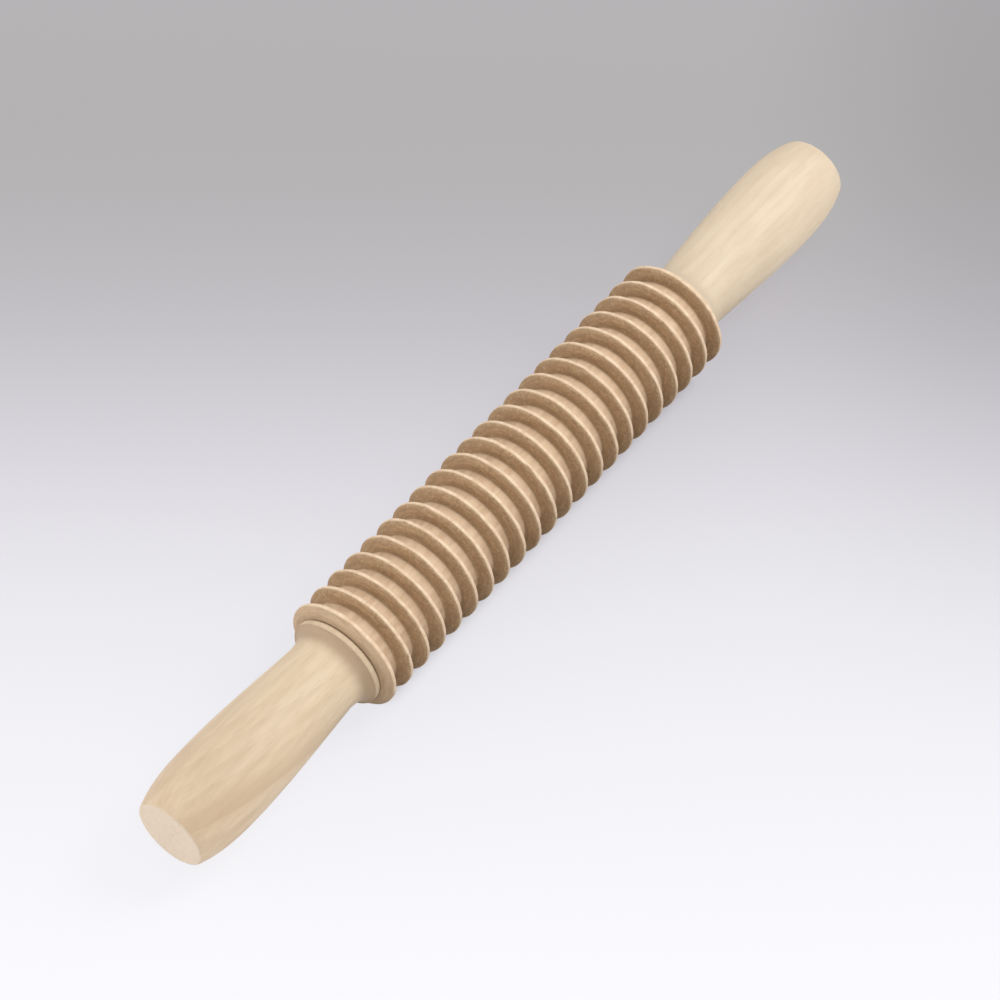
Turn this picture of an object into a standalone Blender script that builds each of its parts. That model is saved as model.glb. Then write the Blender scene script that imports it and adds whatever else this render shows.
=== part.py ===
"""Pasta cutter rolling pin: a ribbed wooden barrel that turns on a steel rod between two handles.

The pin lies along X with its middle at the origin, in metres, +Z up. Every piece is turned, so each
one is an outline of (radius, place along the axis) points swept round its own Z axis.
"""

import math

import bpy

# Ribbed barrel, from the photo's proportions
RIB_COUNT = 22
RIB_PITCH = 0.0078
CREST_RADIUS = 0.0192
CREST_WIDTH = 0.0014
GROOVE_DEPTH = 0.0044
FLANK_RUN = 0.00075
ROOT_FILLET = 0.0009
END_FLANK_RUN = 0.0011

# Handles, measured outwards from the face that looks at the barrel
HANDLE_LENGTH = 0.0763
COLLAR_RADIUS = 0.0154
COLLAR_WIDTH = 0.0018
NECK_RADIUS = 0.01225
NECK_PLACE = 0.0090
NECK_SLOPE = 0.07
SWELL_RADIUS = 0.01475
SWELL_PLACE = 0.0538
TIP_RADIUS = 0.0119
TIP_SLOPE = -0.36
TIP_ROUND = 0.0013

# Steel rod: plain between its two shoulders, thinner where it screws into the handles
ROD_RADIUS = 0.0040
THREAD_RADIUS = 0.0030
THREAD_LENGTH = 0.0160
THREAD_CHAMFER = 0.0006

# Flanged bushes pressed into the barrel's ends
BUSH_WALL = 0.0017
BUSH_LENGTH = 0.0140
FLANGE_RADIUS = 0.0085
FLANGE_THICKNESS = 0.0015

# Thrust washers between the bushes and the handles
WASHER_RADIUS = 0.0080
WASHER_THICKNESS = 0.0010

# Threaded inserts fixed in the handles
INSERT_WALL = 0.0020
INSERT_LENGTH = 0.0180

# Clearances
SEAT_GAP = 0.0003
RUNNING_GAP = 0.0004
ROD_WAY_GAP = 0.0008

# Facets round each kind of piece
BARREL_STEPS = 32
HANDLE_STEPS = 32
SMALL_STEPS = 24

# Places along the pin that the sizes above give
END_RIB_PLACE = (RIB_COUNT - 1) * RIB_PITCH / 2
BARREL_HALF = END_RIB_PLACE + CREST_WIDTH / 2 + END_FLANK_RUN
HANDLE_FACE = BARREL_HALF + RUNNING_GAP
WASHER_PLACE = BARREL_HALF + SEAT_GAP
SHOULDER_PLACE = WASHER_PLACE + WASHER_THICKNESS + SEAT_GAP
INSERT_PLACE = SHOULDER_PLACE + SEAT_GAP

# Radii that follow from what passes through what
FLOOR_RADIUS = CREST_RADIUS - GROOVE_DEPTH
ROD_HOLE_RADIUS = ROD_RADIUS + SEAT_GAP
BUSH_RADIUS = ROD_HOLE_RADIUS + BUSH_WALL
THREAD_HOLE_RADIUS = THREAD_RADIUS + SEAT_GAP
INSERT_RADIUS = THREAD_HOLE_RADIUS + INSERT_WALL

SMOOTH_ANGLE = math.radians(28)
ON_AXIS_MERGE = 0.000001


def clear_scene():
    for scene_object in list(bpy.data.objects):
        bpy.data.objects.remove(scene_object, do_unlink=True)


def make_material(name, colour, roughness, metallic=0.0):
    material = bpy.data.materials.new(name)
    material.use_nodes = True
    shader = material.node_tree.nodes["Principled BSDF"]
    shader.inputs["Base Color"].default_value = (*colour, 1.0)
    shader.inputs["Roughness"].default_value = roughness
    shader.inputs["Metallic"].default_value = metallic
    return material


def turned_mesh(name, outline, steps, closed, material):
    """Sweep an outline round Z. An outline runs down its outer side; a closed one goes back up its bore."""
    edges = [(i, i + 1) for i in range(len(outline) - 1)]
    if closed:
        edges.append((len(outline) - 1, 0))
    profile = bpy.data.meshes.new(name + "_outline")
    profile.from_pydata([(radius, 0.0, place) for radius, place in outline], edges, [])
    sweep_object = bpy.data.objects.new(name + "_sweep", profile)
    bpy.context.scene.collection.objects.link(sweep_object)

    screw = sweep_object.modifiers.new("Turn", "SCREW")
    screw.axis = "Z"
    screw.angle = math.tau
    screw.steps = steps
    screw.render_steps = steps
    screw.use_merge_vertices = True
    screw.merge_threshold = ON_AXIS_MERGE

    bpy.context.view_layer.update()
    evaluated = sweep_object.evaluated_get(bpy.context.evaluated_depsgraph_get())
    mesh = bpy.data.meshes.new_from_object(evaluated)
    bpy.data.objects.remove(sweep_object)
    bpy.data.meshes.remove(profile)

    mesh.name = name
    mesh.materials.clear()
    mesh.materials.append(material)
    mesh.shade_smooth()
    mesh.set_sharp_from_angle(angle=SMOOTH_ANGLE)
    return mesh


def place_piece(name, mesh, collection, parent, along=0.0, side=1, turn=0.0):
    """Stand a turned mesh on the pin's axis, its Z pointing outwards on the given side."""
    piece = bpy.data.objects.new(name, mesh)
    collection.objects.link(piece)
    piece.rotation_mode = "ZYX"
    piece.rotation_euler = (0.0, side * math.pi / 2, turn)
    piece.location = (side * along, 0.0, 0.0)
    piece.parent = parent
    return piece


def eased_run(start, end, start_slope, end_slope, count):
    """Points of a smooth curve between two (radius, place) points, the first one left out."""
    run = end[1] - start[1]
    points = []
    for i in range(1, count + 1):
        s = i / count
        rise = 3 * s ** 2 - 2 * s ** 3
        leave = s ** 3 - 2 * s ** 2 + s
        arrive = s ** 3 - s ** 2
        radius = start[0] + (end[0] - start[0]) * rise + run * (start_slope * leave + end_slope * arrive)
        points.append((radius, start[1] + run * s))
    return points


def barrel_outline():
    """Ribs with sloping flanks and softened roots, over a bore that is stepped for a bush at each end."""
    flank_share = (GROOVE_DEPTH - ROOT_FILLET) / GROOVE_DEPTH
    outer = [(COLLAR_RADIUS, BARREL_HALF)]
    for i in range(RIB_COUNT):
        rib = END_RIB_PLACE - i * RIB_PITCH
        upper_edge = rib + CREST_WIDTH / 2
        lower_edge = rib - CREST_WIDTH / 2
        if i > 0:
            outer.append((FLOOR_RADIUS, upper_edge + FLANK_RUN + ROOT_FILLET))
            outer.append((FLOOR_RADIUS + ROOT_FILLET, upper_edge + FLANK_RUN * flank_share))
        outer.append((CREST_RADIUS, upper_edge))
        outer.append((CREST_RADIUS, lower_edge))
        if i < RIB_COUNT - 1:
            outer.append((FLOOR_RADIUS + ROOT_FILLET, lower_edge - FLANK_RUN * flank_share))
            outer.append((FLOOR_RADIUS, lower_edge - FLANK_RUN - ROOT_FILLET))
    outer.append((COLLAR_RADIUS, -BARREL_HALF))

    flange_seat = FLANGE_RADIUS + SEAT_GAP
    flange_floor = BARREL_HALF - FLANGE_THICKNESS - SEAT_GAP
    sleeve_seat = BUSH_RADIUS + SEAT_GAP
    sleeve_floor = BARREL_HALF - BUSH_LENGTH - SEAT_GAP
    rod_way = ROD_RADIUS + ROD_WAY_GAP
    lower_bore = [
        (flange_seat, -BARREL_HALF),
        (flange_seat, -flange_floor),
        (sleeve_seat, -flange_floor),
        (sleeve_seat, -sleeve_floor),
        (rod_way, -sleeve_floor),
    ]
    upper_bore = [(radius, -place) for radius, place in reversed(lower_bore)]
    return outer + lower_bore + upper_bore


def handle_outline():
    """A grip from its rounded tip down to the collar, then up the washer recess and the blind bore."""
    tip_angle = math.pi / 2 + math.atan(TIP_SLOPE)
    tip_start = HANDLE_LENGTH - TIP_ROUND * (1 - math.cos(tip_angle))
    face_radius = TIP_RADIUS - TIP_ROUND * math.sin(tip_angle)
    tip_points = 4
    cove_points = 6

    side = [(NECK_RADIUS, NECK_PLACE)]
    side += eased_run(side[-1], (SWELL_RADIUS, SWELL_PLACE), NECK_SLOPE, 0.0, 8)
    side += eased_run(side[-1], (TIP_RADIUS, tip_start), 0.0, TIP_SLOPE, 5)
    for i in range(1, tip_points + 1):
        angle = tip_angle * (1 - i / tip_points)
        radius = face_radius + TIP_ROUND * math.sin(angle)
        side.append((radius, HANDLE_LENGTH - TIP_ROUND * (1 - math.cos(angle))))

    cove = []
    for i in range(1, cove_points + 1):
        angle = math.pi / 2 * i / cove_points
        radius = NECK_RADIUS + (COLLAR_RADIUS - NECK_RADIUS) * (1 - math.cos(angle))
        cove.append((radius, NECK_PLACE - (NECK_PLACE - COLLAR_WIDTH) * math.sin(angle)))

    recess_radius = WASHER_RADIUS + SEAT_GAP
    recess_floor = SHOULDER_PLACE - HANDLE_FACE
    bore_radius = INSERT_RADIUS + SEAT_GAP
    bore_floor = INSERT_PLACE + INSERT_LENGTH + SEAT_GAP - HANDLE_FACE
    bore = [
        (COLLAR_RADIUS, 0.0),
        (recess_radius, 0.0),
        (recess_radius, recess_floor),
        (bore_radius, recess_floor),
        (bore_radius, bore_floor),
        (0.0, bore_floor),
    ]
    return [(0.0, HANDLE_LENGTH)] + side[::-1] + cove + bore


def rod_outline():
    """A plain rod with a shoulder and a thinner screwed end on each side."""
    end_place = INSERT_PLACE + THREAD_LENGTH
    upper = [
        (0.0, end_place),
        (THREAD_RADIUS - THREAD_CHAMFER, end_place),
        (THREAD_RADIUS, end_place - THREAD_CHAMFER),
        (THREAD_RADIUS, SHOULDER_PLACE),
        (ROD_RADIUS, SHOULDER_PLACE),
    ]
    return upper + [(radius, -place) for radius, place in reversed(upper)]


def bush_outline():
    """A flanged sleeve whose flange face is at 0 and whose sleeve points down into the barrel."""
    return [
        (FLANGE_RADIUS, 0.0),
        (FLANGE_RADIUS, -FLANGE_THICKNESS),
        (BUSH_RADIUS, -FLANGE_THICKNESS),
        (BUSH_RADIUS, -BUSH_LENGTH),
        (ROD_HOLE_RADIUS, -BUSH_LENGTH),
        (ROD_HOLE_RADIUS, 0.0),
    ]


def ring_outline(outer_radius, inner_radius, length):
    """A plain ring from 0 up to its length."""
    return [(outer_radius, length), (outer_radius, 0.0), (inner_radius, 0.0), (inner_radius, length)]


def make_empty(name, collection):
    empty = bpy.data.objects.new(name, None)
    empty.empty_display_type = "ARROWS"
    empty.empty_display_size = CREST_RADIUS
    collection.objects.link(empty)
    return empty


def build_pin():
    clear_scene()
    collection = bpy.data.collections.new("pasta_cutter_rolling_pin")
    bpy.context.scene.collection.children.link(collection)

    barrel_wood = make_material("barrel_wood", (0.55, 0.35, 0.19), 0.62)
    handle_wood = make_material("handle_wood", (0.78, 0.60, 0.41), 0.52)
    rod_steel = make_material("rod_steel", (0.55, 0.55, 0.56), 0.30, 1.0)
    bush_nylon = make_material("bush_nylon", (0.82, 0.80, 0.74), 0.45)
    washer_steel = make_material("washer_steel", (0.62, 0.62, 0.63), 0.28, 1.0)
    insert_brass = make_material("insert_brass", (0.68, 0.48, 0.20), 0.35, 1.0)

    held = make_empty("held_frame", collection)
    spin = make_empty("barrel_axis", collection)

    # The barrel lies on flats, so that a facet and not an edge points straight down
    barrel_mesh = turned_mesh("barrel", barrel_outline(), BARREL_STEPS, True, barrel_wood)
    place_piece("barrel", barrel_mesh, collection, spin, turn=math.pi / BARREL_STEPS)

    rod_mesh = turned_mesh("axle_rod", rod_outline(), SMALL_STEPS, False, rod_steel)
    place_piece("axle_rod", rod_mesh, collection, held)

    washer_ring = ring_outline(WASHER_RADIUS, ROD_HOLE_RADIUS, WASHER_THICKNESS)
    insert_ring = ring_outline(INSERT_RADIUS, THREAD_HOLE_RADIUS, INSERT_LENGTH)
    handle_mesh = turned_mesh("handle", handle_outline(), HANDLE_STEPS, False, handle_wood)
    bush_mesh = turned_mesh("bush", bush_outline(), SMALL_STEPS, True, bush_nylon)
    washer_mesh = turned_mesh("thrust_washer", washer_ring, SMALL_STEPS, True, washer_steel)
    insert_mesh = turned_mesh("threaded_insert", insert_ring, SMALL_STEPS, True, insert_brass)

    for side, word in ((-1, "left"), (1, "right")):
        place_piece("handle_" + word, handle_mesh, collection, held, HANDLE_FACE, side)
        place_piece("bush_" + word, bush_mesh, collection, spin, BARREL_HALF, side)
        place_piece("thrust_washer_" + word, washer_mesh, collection, held, WASHER_PLACE, side)
        place_piece("threaded_insert_" + word, insert_mesh, collection, held, INSERT_PLACE, side)


build_pin()
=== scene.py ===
import math

import bpy
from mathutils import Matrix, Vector, noise


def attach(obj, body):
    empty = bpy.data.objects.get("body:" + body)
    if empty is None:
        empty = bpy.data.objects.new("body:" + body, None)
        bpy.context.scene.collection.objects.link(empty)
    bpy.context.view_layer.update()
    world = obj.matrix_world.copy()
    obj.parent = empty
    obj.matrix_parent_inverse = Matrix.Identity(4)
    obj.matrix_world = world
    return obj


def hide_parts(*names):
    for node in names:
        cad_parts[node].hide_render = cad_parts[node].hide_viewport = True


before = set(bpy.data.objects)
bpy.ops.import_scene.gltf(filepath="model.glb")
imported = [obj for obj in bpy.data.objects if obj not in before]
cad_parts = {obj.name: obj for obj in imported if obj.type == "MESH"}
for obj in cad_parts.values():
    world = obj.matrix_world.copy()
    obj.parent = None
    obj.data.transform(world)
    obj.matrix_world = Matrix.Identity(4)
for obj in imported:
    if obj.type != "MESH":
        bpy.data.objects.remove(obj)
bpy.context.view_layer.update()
print("frame loaded:", ", ".join(sorted(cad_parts)))


# camera

viewSettings = {
    "place": (-0.52827, -0.40075, 0.86658),
    "target": (-0.00874, -0.00165, 0.0),
    "lens": 128.85,  # mm on a 36 mm wide frame
    "sensor": 36.0,
    "clip": (0.02, 50.0),
}


def intoScene(thing):
    bpy.context.scene.collection.objects.link(thing)
    return thing


def aim(thing, place, target):
    thing.location = place
    thing.rotation_euler = (Vector(target) - Vector(place)).to_track_quat("-Z", "Y").to_euler()


def makeCamera(settings):
    lensData = bpy.data.cameras.new("viewCamera")
    lensData.sensor_fit = "HORIZONTAL"
    lensData.sensor_width = settings["sensor"]
    lensData.lens = settings["lens"]
    lensData.clip_start, lensData.clip_end = settings["clip"]
    camera = intoScene(bpy.data.objects.new("viewCamera", lensData))
    aim(camera, settings["place"], settings["target"])
    bpy.context.scene.camera = camera
    return camera


makeCamera(viewSettings)
bpy.context.scene.view_settings.view_transform = "Standard"


# node helpers

def addNode(tree, kind, inputs=None, **settings):
    node = tree.nodes.new(kind)
    for key, value in settings.items():
        setattr(node, key, value)
    for key, value in (inputs or {}).items():
        feed(tree, node.inputs[key], value)
    return node


def feed(tree, socket, value):
    if isinstance(value, bpy.types.NodeSocket):
        tree.links.new(value, socket)
    elif socket.type == "RGBA":
        socket.default_value = (*value, 1.0)
    elif value is not None:
        socket.default_value = value


def calc(tree, operation, first, second=None, third=None, clamp=False):
    node = addNode(tree, "ShaderNodeMath", operation=operation, use_clamp=clamp)
    for socket, value in zip(node.inputs, (first, second, third)):
        feed(tree, socket, value)
    return node.outputs[0]


def vecCalc(tree, operation, first, second=None):
    node = addNode(tree, "ShaderNodeVectorMath", {0: first, 1: second}, operation=operation)
    return node.outputs["Value"] if operation in ("LENGTH", "DOT_PRODUCT") else node.outputs["Vector"]


def times(tree, first, second):
    return calc(tree, "MULTIPLY", first, second)


def between(tree, share, limits):
    low, high = limits
    return calc(tree, "MULTIPLY_ADD", share, high - low, low)


def opposite(tree, value):  # 1 where the value is 0, and 0 where it is 1
    return calc(tree, "SUBTRACT", 1.0, value)


def ownPlace(tree):
    return addNode(tree, "ShaderNodeTexCoord").outputs["Object"]


def inMillimetres(tree, place):
    return vecCalc(tree, "MULTIPLY", place, (1000.0, 1000.0, 1000.0))


def alongAxis(tree, vector, letter="X"):
    return addNode(tree, "ShaderNodeSeparateXYZ", {"Vector": vector}).outputs[letter]


def step(tree, value, low, high):
    inputs = {"Value": value, "From Min": low, "From Max": high}
    return addNode(tree, "ShaderNodeMapRange", inputs, interpolation_type="SMOOTHSTEP").outputs["Result"]


def blendColour(tree, amount, first, second, mode="MIX"):
    inputs = {0: amount, 6: first, 7: second}  # 6, 7 and 2 are the sockets for colours
    return addNode(tree, "ShaderNodeMix", inputs, data_type="RGBA", blend_type=mode).outputs[2]


def tinted(tree, colour, tint, mask, share):
    return blendColour(tree, times(tree, mask, share), colour, tint)


def grainNoise(tree, vector, scale, detail=2.0, rough=0.5):
    inputs = {"Vector": vector, "Scale": scale, "Detail": detail, "Roughness": rough}
    return addNode(tree, "ShaderNodeTexNoise", inputs).outputs["Fac"]


def makeGroup(name, inputs, outputs):
    group = bpy.data.node_groups.new(name, "ShaderNodeTree")
    group.interface.new_socket("place", in_out="INPUT", socket_type="NodeSocketVector")
    for label in inputs:
        group.interface.new_socket(label, in_out="INPUT", socket_type="NodeSocketFloat")
    for label in outputs:
        group.interface.new_socket(label, in_out="OUTPUT", socket_type="NodeSocketFloat")
    return group, group.nodes.new("NodeGroupInput").outputs, group.nodes.new("NodeGroupOutput")


def useGroup(tree, group, **inputs):
    return addNode(tree, "ShaderNodeGroup", inputs, node_tree=group).outputs


def fillGroup(group, put, made):
    for label, value in made.items():
        feed(group, put.inputs[label], value)
    return group


def emptyTree(owner):
    owner.use_nodes = True
    owner.node_tree.nodes.clear()
    return owner.node_tree


def startMaterial(name):
    material = bpy.data.materials.new(name)
    tree = emptyTree(material)
    shader = tree.nodes.new("ShaderNodeBsdfPrincipled")
    output = tree.nodes.new("ShaderNodeOutputMaterial")
    tree.links.new(shader.outputs[0], output.inputs["Surface"])
    return material, tree, shader


# shared effects

def shiftBy(group, seed, stride):  # each piece takes its pattern from a place of its own
    seeds = addNode(group, "ShaderNodeCombineXYZ", {"X": seed, "Y": seed, "Z": seed}).outputs[0]
    return vecCalc(group, "MULTIPLY", seeds, stride)


timberPattern = {  # stretches are in turns of the noise for each mm
    "seedStride": (171.3, 37.7, 59.1),
    "bendStretch": (0.012, 0.050, 0.050),
    "coarseStretch": (0.018, 0.75, 0.75),
    "fineStretch": (0.090, 4.20, 4.20),
    "rayStretch": (0.240, 2.30, 2.30),
    "mottleStretch": (0.055, 0.38, 0.38),
    "lateWood": (0.30, 0.93),  # shares of a ring's width
    "weakestRing": 0.4,
    "coarseShare": 0.6,
    "fleckReach": (0.665, 0.760),
    "fibreRelief": 0.70,
    "fleckRelief": 0.35,
}


def makeTimberGroup(pattern):
    inputs = ("pithSide", "pithDown", "slantSide", "slantDown", "ringWidth", "wander", "seed")
    outputs = ("rings", "fibres", "flecks", "mottle", "relief", "fromPith")
    group, given, put = makeGroup("timberGrain", inputs, outputs)
    inMm = inMillimetres(group, given["place"])
    own = vecCalc(group, "ADD", inMm, shiftBy(group, given["seed"], pattern["seedStride"]))

    def stretched(key, detail, rough):
        return grainNoise(group, vecCalc(group, "MULTIPLY", own, pattern[key]), 1.0, detail, rough)

    # growth rings round a pith that lies outside the piece and slants slightly to it
    wave = stretched("bendStretch", 2.0, 0.45)
    bend = times(group, calc(group, "SUBTRACT", wave, 0.5), times(group, given["wander"], 4.0))
    split = addNode(group, "ShaderNodeSeparateXYZ", {"Vector": inMm})
    along, side, up = split.outputs["X"], split.outputs["Y"], split.outputs["Z"]
    pithSide = calc(group, "MULTIPLY_ADD", along, given["slantSide"], given["pithSide"])
    pithDown = calc(group, "MULTIPLY_ADD", along, given["slantDown"], given["pithDown"])
    sideways, upwards = calc(group, "SUBTRACT", side, pithSide), calc(group, "SUBTRACT", up, pithDown)
    squares = calc(group, "ADD", times(group, sideways, sideways), times(group, upwards, upwards))
    fromPith = calc(group, "ADD", calc(group, "SQRT", squares), bend)
    turns = calc(group, "DIVIDE", fromPith, given["ringWidth"])
    within, which = calc(group, "FRACT", turns), calc(group, "FLOOR", turns)
    chance = addNode(group, "ShaderNodeTexWhiteNoise", {"W": which}, noise_dimensions="1D")
    starts, ends = pattern["lateWood"]
    late = times(group, step(group, within, starts, ends), opposite(group, step(group, within, ends, 1.0)))
    weakest = pattern["weakestRing"]
    strength = calc(group, "MULTIPLY_ADD", chance.outputs["Value"], 1.0 - weakest, weakest)
    rings = times(group, late, strength)

    # fibres: long streaks along X, coarse and fine
    coarse = stretched("coarseStretch", 3.0, 0.55)
    fine = stretched("fineStretch", 2.0, 0.6)
    share = pattern["coarseShare"]
    fibres = calc(group, "MULTIPLY_ADD", coarse, share, times(group, fine, 1.0 - share))

    # ray flecks: short spindles, few of them dark
    flecks = step(group, stretched("rayStretch", 0.0, 0.5), *pattern["fleckReach"])

    mottle = stretched("mottleStretch", 4.0, 0.6)
    sunkFlecks = times(group, flecks, pattern["fleckRelief"])
    relief = calc(group, "SUBTRACT", times(group, fine, pattern["fibreRelief"]), sunkFlecks)
    return fillGroup(group, put, {
        "rings": rings,
        "fibres": fibres,
        "flecks": flecks,
        "mottle": mottle,
        "relief": relief,
        "fromPith": fromPith,
    })


def alongAndRadius(group, place):  # both in mm
    along = times(group, alongAxis(group, place), 1000.0)
    return along, vecCalc(group, "LENGTH", vecCalc(group, "MULTIPLY", place, (0.0, 1000.0, 1000.0)))


def makeTurningGroup():
    group, given, put = makeGroup("toolMarks", ("spacing", "seed"), ("marks",))
    along, radius = alongAndRadius(group, given["place"])
    across = calc(group, "ADD", along, radius)  # so that faces square to X are marked as well
    feedRate = calc(group, "DIVIDE", across, given["spacing"])
    drift = {"W": calc(group, "ADD", feedRate, given["seed"]), "Scale": 0.35, "Detail": 2.0}
    uneven = addNode(group, "ShaderNodeTexNoise", drift, noise_dimensions="1D").outputs["Fac"]
    wave = calc(group, "SINE", times(group, feedRate, math.tau))
    marks = times(group, calc(group, "MULTIPLY_ADD", wave, 0.5, 0.5), uneven)
    return fillGroup(group, put, {"marks": marks})


ribEdges = {
    "crest": (0.02, 0.14),  # shares of the grooves' depth
    "rootDepth": (0.60, 0.95),
    "arris": (0.05, 0.40),  # mm from the crest's edge
    "rootFrom": (1.2, 1.7),  # mm from the rib's middle
    "rootTo": (2.0, 2.9),
    "outsideBlend": 0.4,
}


def makeRibGroup(edges):
    inputs = ("pitch", "crestRadius", "depth", "crestNear", "crestFar", "lastRib")
    outputs = ("sunk", "crest", "arris", "root", "outside")
    group, given, put = makeGroup("ribZones", inputs, outputs)
    near, far, pitch = given["crestNear"], given["crestFar"], given["pitch"]
    along, radius = alongAndRadius(group, given["place"])
    below = calc(group, "SUBTRACT", given["crestRadius"], radius)
    sunk = calc(group, "DIVIDE", below, given["depth"], clamp=True)
    halfPitch = times(group, pitch, 0.5)
    crestWidth = calc(group, "ADD", near, far)
    offCentre = calc(group, "MULTIPLY_ADD", crestWidth, 0.5, times(group, near, -1.0))
    fromCrest = calc(group, "SUBTRACT", along, offCentre)
    wrapped = calc(group, "WRAP", fromCrest, halfPitch, times(group, halfPitch, -1.0))
    toGroove = calc(group, "ABSOLUTE", wrapped)  # an even count of ribs puts a groove at the middle
    toRib = calc(group, "SUBTRACT", halfPitch, toGroove)
    fromEdge = calc(group, "ABSOLUTE", calc(group, "SUBTRACT", toRib, times(group, crestWidth, 0.5)))
    crest = opposite(group, step(group, sunk, *edges["crest"]))
    arris = times(group, crest, opposite(group, step(group, fromEdge, *edges["arris"])))
    leaving = opposite(group, step(group, toRib, *edges["rootTo"]))
    inRoot = times(group, step(group, toRib, *edges["rootFrom"]), leaving)
    root = times(group, inRoot, step(group, sunk, *edges["rootDepth"]))
    last = given["lastRib"]
    beyond = calc(group, "ADD", last, edges["outsideBlend"])
    outside = step(group, calc(group, "ABSOLUTE", along), last, beyond)
    made = {"sunk": sunk, "crest": crest, "arris": arris, "root": root, "outside": outside}
    return fillGroup(group, put, made)


wearPattern = {
    "seedStride": (91.0, 53.0, 77.0),
    "limit": (0.75, 0.35, 0.18),  # with no wear, its fall at full wear, and the soft edge
    "scratchStretch": (0.5, 6.0, 0.9),
    "scratchReach": (0.68, 0.74),
}


def makeWearGroup(pattern):
    group, given, put = makeGroup("softWear", ("size", "amount", "seed"), ("rub", "scratch"))
    inMm = inMillimetres(group, given["place"])
    own = vecCalc(group, "ADD", inMm, shiftBy(group, given["seed"], pattern["seedStride"]))
    patches = grainNoise(group, own, calc(group, "DIVIDE", 1.0, given["size"]), 3.0, 0.55)
    highest, fall, edge = pattern["limit"]
    limit = calc(group, "SUBTRACT", highest, times(group, given["amount"], fall))
    rub = step(group, patches, limit, calc(group, "ADD", limit, edge))
    lines = grainNoise(group, vecCalc(group, "MULTIPLY", own, pattern["scratchStretch"]), 1.0, 1.0, 0.5)
    return fillGroup(group, put, {"rub": rub, "scratch": step(group, lines, *pattern["scratchReach"])})


timberGrain = makeTimberGroup(timberPattern)
toolMarks = makeTurningGroup()
ribZones = makeRibGroup(ribEdges)
softWear = makeWearGroup(wearPattern)
print("shared effects built:", len(bpy.data.node_groups))


# materials

barrelWoodSettings = {
    "pale": (0.89, 0.685, 0.485),
    "ringTint": (0.76, 0.540, 0.350),
    "fibreTint": (0.78, 0.560, 0.370),
    "fleckTint": (0.62, 0.400, 0.240),
    "floorShade": (0.97, 0.950, 0.920),  # painted shade: multiplies the colour at the bottom of the grooves
    # end-grain colour with painted shade for the sides facing the near end, the low one deeper in the
    # grooves
    "shadedFlankHigh": (0.425, 0.270, 0.140),
    "shadedFlankLow": (0.36, 0.217, 0.102),
    "endFlank": (0.525, 0.376, 0.243),
    "shadedEndFlankLow": (0.437, 0.306, 0.192),
    # lighter arrises: wear in patches, and painted highlight on every crest top
    "arrisWearAndHighlight": (0.97, 0.780, 0.590),
    "streakTint": (0.62, 0.415, 0.240),
    # dark torn grain and streak gaps, and the painted shade at the grooves' roots
    "darkGrainAndRootShade": (0.34, 0.205, 0.110),
    "mottleTint": (0.86, 0.800, 0.740),  # multiplies the colour in the darker patches
    "mottleLight": (1.10, 1.120, 1.140),
    "pith": (46.0, -21.0),
    "ringWidth": 3.1,
    "slant": (0.0, 0.035),
    "ringShow": 0.40,
    "fibreShow": 0.42,
    "fleckShow": 0.20,
    "streakShow": 0.45,
    "mottleShow": 0.70,
    "crestHighlightShow": 0.10,
    "rubShow": 0.40,
    "flankShow": 0.88,
    "tornShow": 0.55,
    "fluffShow": 0.30,
    "rootShadeShow": 0.22,
    "wander": 1.6,
    "seed": 1.7,
    "nearLean": (0.06, 0.55),  # how much a side looks along the pin
    "farLean": (0.65, 0.95),
    "floorReach": (0.3, 0.9),  # shares of the grooves' depth
    "endFlankReach": (0.36, 0.66),
    "streakScale": 0.9,
    "streakStretch": (0.6, 0.22, 0.22),
    "streakTurn": 1.5,
    "streakReach": (0.46, 0.66),
    "streakGapReach": (0.50, 0.68),
    "tuftScale": 1.1,
    "tornReach": (0.50, 0.64),
    "fluffReach": (0.52, 0.66),
    "endTorn": 0.3,  # the flat ends are cut cleaner
    "wear": (2.2, 0.8, 2.0),  # width of the patches in mm, amount, seed
    "roughness": (0.50, 0.66),
    "flankRoughness": 0.14,  # added on the ribs' sides
    "marks": (0.55, 3.0),  # spacing in mm, seed
    "markHeight": 0.35,
    "tornHeight": -0.9,
    "bump": (0.55, 0.00012),  # strength and height in metres
    "gloss": 0.35,
}

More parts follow.
